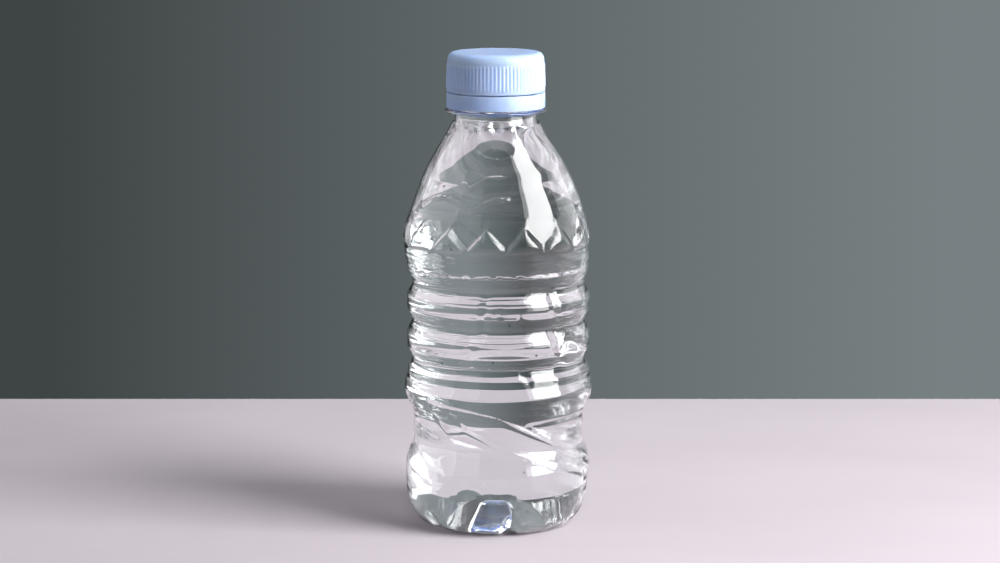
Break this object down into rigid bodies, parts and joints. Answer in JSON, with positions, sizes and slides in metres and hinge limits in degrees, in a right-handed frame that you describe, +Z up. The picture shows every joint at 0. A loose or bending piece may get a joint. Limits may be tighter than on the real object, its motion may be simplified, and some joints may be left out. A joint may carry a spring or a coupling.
{
  "type": "dented plastic water bottle",
  "caption": "Small clear plastic bottle full of water, closed by a pale blue ridged screw cap; ribbed middle and narrow waist with dents and creases, footed base.",
  "frame": {"origin": "centre of the body's box at the level of the feet, on the surface the bottle stands on", "axes": "+Z up through the neck, -Y towards the front, +X to the right seen from the front"},
  "size_m": [0.0587, 0.0586, 0.1473],
  "materials": {
    "clear_wall": "clear, glossy, blow-moulded",
    "water": "clear and still",
    "cap_plastic": "satin, pale blue, slightly waxy"
  },
  "bodies": {
    "bottle_body": {"bottle": "clear_wall", "water": "water"},
    "band_body": {"tamper_band": "cap_plastic"},
    "cap_body": {"cap": "cap_plastic"}
  },
  "joints": [
    {"name": "cap_turn", "type": "hinge", "parent": "bottle_body", "child": "band_body", "pos_m": [-0.0008, 0, 0.135], "axis": [0, 0, 1], "range_deg": [0, 650]},
    {"name": "cap_rise", "type": "slide", "parent": "band_body", "child": "cap_body", "axis": [0, 0, 1], "range_m": [0, 0.0049]}
  ],
  "couplings": [
    {"joint": "cap_rise", "follows": "cap_turn", "m_per_rad": 0.00042972}
  ]
}
